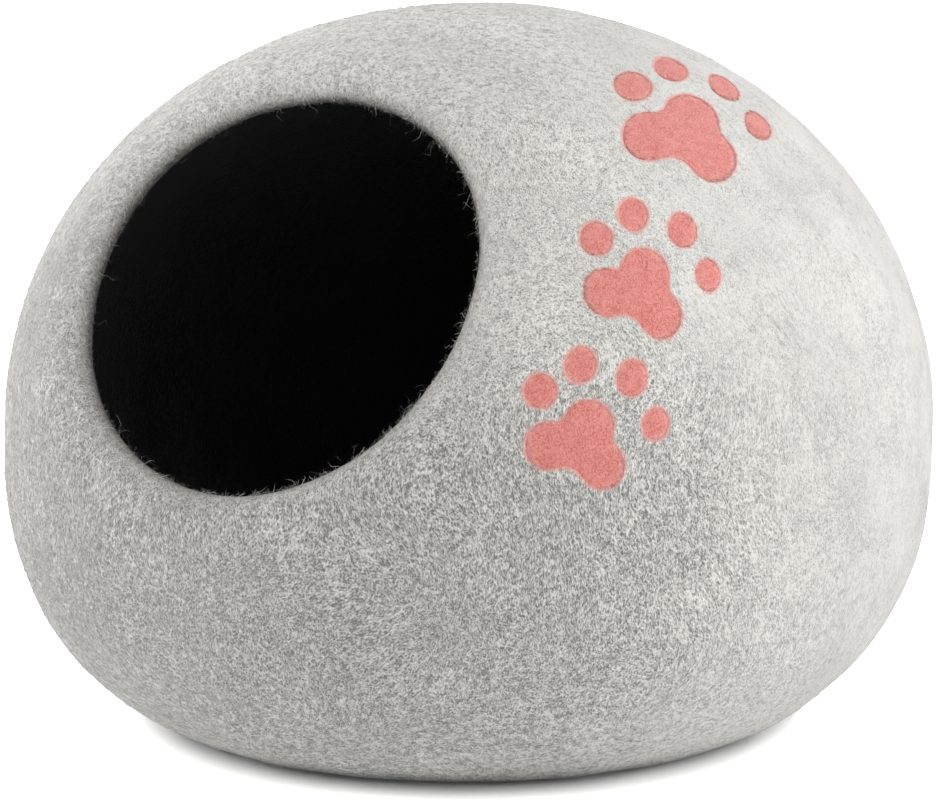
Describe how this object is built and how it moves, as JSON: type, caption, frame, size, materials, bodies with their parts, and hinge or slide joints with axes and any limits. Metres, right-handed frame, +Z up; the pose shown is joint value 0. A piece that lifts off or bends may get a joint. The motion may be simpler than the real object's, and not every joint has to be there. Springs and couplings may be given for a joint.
{
  "type": "felt cat cave",
  "caption": "Hollow squat dome of thick seamless felt on a flat base, with a round mouth facing forward and up, a soft rolled lip, and felt paw prints climbing beside it.",
  "frame": {"origin": "middle of the flat base, on the surface the cave stands on", "axes": "+Z up through the top of the dome; the mouth looks towards -Y and up; the paw prints climb on the +X side of the mouth"},
  "size_m": [0.4581, 0.4584, 0.3446],
  "materials": {
    "grey_felt": "light heather-grey wet-felted wool, matt and softly fuzzy, near-black on the inner face of the wall",
    "coral_felt": "coral pink needle-felted wool, matt, with a soft fuzzy edge"
  },
  "bodies": {
    "root": {"felt_shell": "grey_felt", "paw_low_palm": "coral_felt", "paw_low_toe_1": "coral_felt", "paw_low_toe_2": "coral_felt", "paw_low_toe_3": "coral_felt", "paw_low_toe_4": "coral_felt", "paw_mid_palm": "coral_felt", "paw_mid_toe_1": "coral_felt", "paw_mid_toe_2": "coral_felt", "paw_mid_toe_3": "coral_felt", "paw_mid_toe_4": "coral_felt", "paw_top_palm": "coral_felt", "paw_top_toe_1": "coral_felt", "paw_top_toe_2": "coral_felt", "paw_top_toe_3": "coral_felt", "paw_top_toe_4": "coral_felt"}
  },
  "joints": []
}
